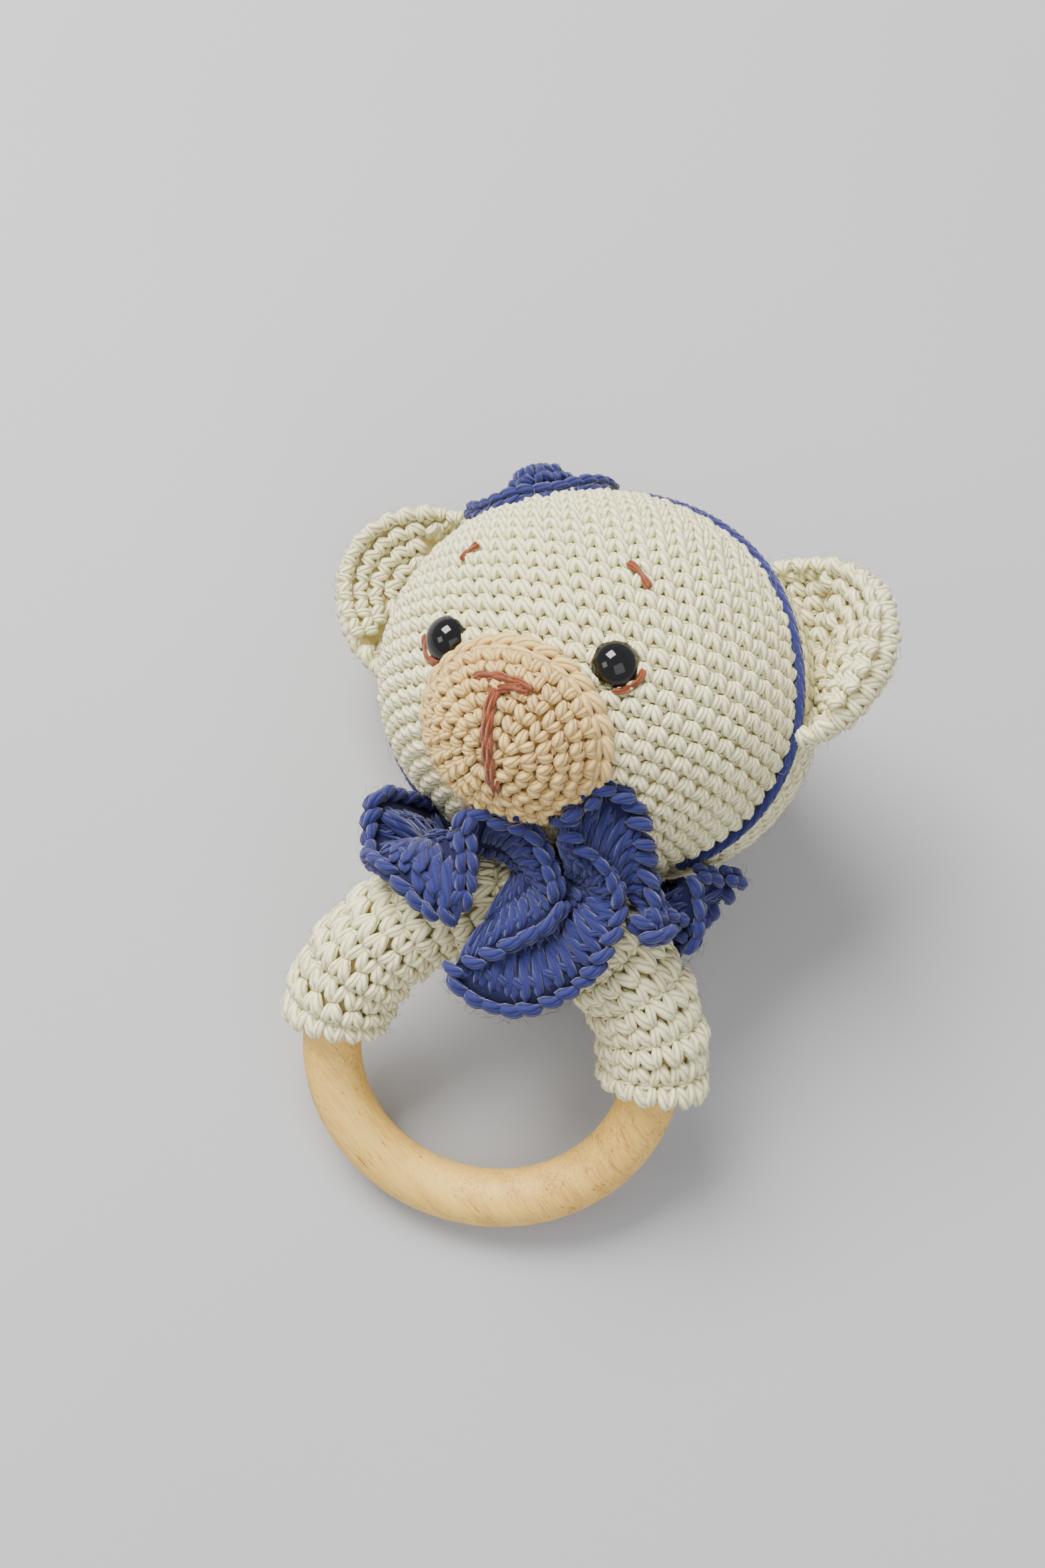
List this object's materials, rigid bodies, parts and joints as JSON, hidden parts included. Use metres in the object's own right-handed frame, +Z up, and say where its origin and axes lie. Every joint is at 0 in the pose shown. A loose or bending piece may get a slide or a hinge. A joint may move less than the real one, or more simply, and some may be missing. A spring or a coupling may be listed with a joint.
{
  "type": "baby rattle",
  "caption": "Crocheted teddy bear head with a ruffled collar, a small hat and a bead capsule inside, on a wooden grip ring that turns in its crocheted sleeve.",
  "frame": {"origin": "on the surface that the rattle lies on, under the middle of its outer box", "axes": "+Z up with the rattle on its back, +Y from the ring to the crown, +X to the right of someone who looks down with the crown away from them"},
  "size_m": [0.1004, 0.1336, 0.0809],
  "materials": {
    "ring_wood": "matte, smooth sanded, fine grain",
    "cream_yarn": "cream cotton yarn, single crochet",
    "blue_yarn": "royal blue cotton yarn, crocheted",
    "beige_yarn": "beige cotton yarn, single crochet",
    "rust_thread": "rust brown embroidery thread",
    "stuffing": "loose polyester fill",
    "eye_black": "glossy",
    "washer_white": "moulded",
    "capsule_plastic": "moulded",
    "bead_plastic": "glossy"
  },
  "bodies": {
    "sleeve": {"ring_sleeve": "cream_yarn", "neck_stem": "cream_yarn"},
    "ring": {"wooden_ring": "ring_wood"},
    "neck": {"neck_band": "cream_yarn"},
    "head": {"neck_frill": "blue_yarn", "head_shell": "cream_yarn", "head_stuffing": "stuffing", "capsule_lower": "capsule_plastic", "capsule_upper": "capsule_plastic", "muzzle_cover": "beige_yarn", "muzzle_stuffing": "stuffing", "nose_stitch": "rust_thread", "mouth_stitch": "rust_thread", "hat_crown": "blue_yarn", "hat_brim": "blue_yarn", "hat_stuffing": "stuffing", "chin_cord": "blue_yarn", "left_eye": "eye_black", "right_eye": "eye_black", "left_eye_washer": "washer_white", "right_eye_washer": "washer_white", "left_eye_liner": "rust_thread", "right_eye_liner": "rust_thread", "left_brow": "rust_thread", "right_brow": "rust_thread", "left_ear": "cream_yarn", "right_ear": "cream_yarn"},
    "bead_1_body": {"bead_1": "bead_plastic"},
    "bead_2_body": {"bead_2": "bead_plastic"},
    "bead_3_body": {"bead_3": "bead_plastic"},
    "bead_4_body": {"bead_4": "bead_plastic"},
    "bead_5_body": {"bead_5": "bead_plastic"}
  },
  "joints": [
    {"name": "ring_turn", "type": "hinge", "parent": "sleeve", "child": "ring", "pos_m": [0.00332, -0.03691, 0.022], "axis": [0, -0.5608, 0.8279], "continuous": true},
    {"name": "head_turn", "type": "hinge", "parent": "sleeve", "child": "neck", "pos_m": [0.00332, -0.0013, 0.0386], "axis": [0, 1, 0], "range_deg": [-20, 20], "stiffness_Nm_per_rad": 0.12},
    {"name": "head_nod", "type": "hinge", "parent": "neck", "child": "head", "pos_m": [0.00332, -0.0013, 0.0386], "axis": [1, 0, 0], "range_deg": [-10, 10], "stiffness_Nm_per_rad": 0.3},
    {"name": "bead_1_slide", "type": "slide", "parent": "head", "child": "bead_1_body", "axis": [0, 0, 1], "range_m": [0, 0.021]},
    {"name": "bead_2_slide", "type": "slide", "parent": "head", "child": "bead_2_body", "axis": [0, 0, 1], "range_m": [0, 0.0185]},
    {"name": "bead_3_slide", "type": "slide", "parent": "head", "child": "bead_3_body", "axis": [0, 0, 1], "range_m": [0, 0.0185]},
    {"name": "bead_4_slide", "type": "slide", "parent": "head", "child": "bead_4_body", "axis": [0, 0, 1], "range_m": [0, 0.0185]},
    {"name": "bead_5_slide", "type": "slide", "parent": "head", "child": "bead_5_body", "axis": [0, 0, 1], "range_m": [0, 0.0185]}
  ]
}
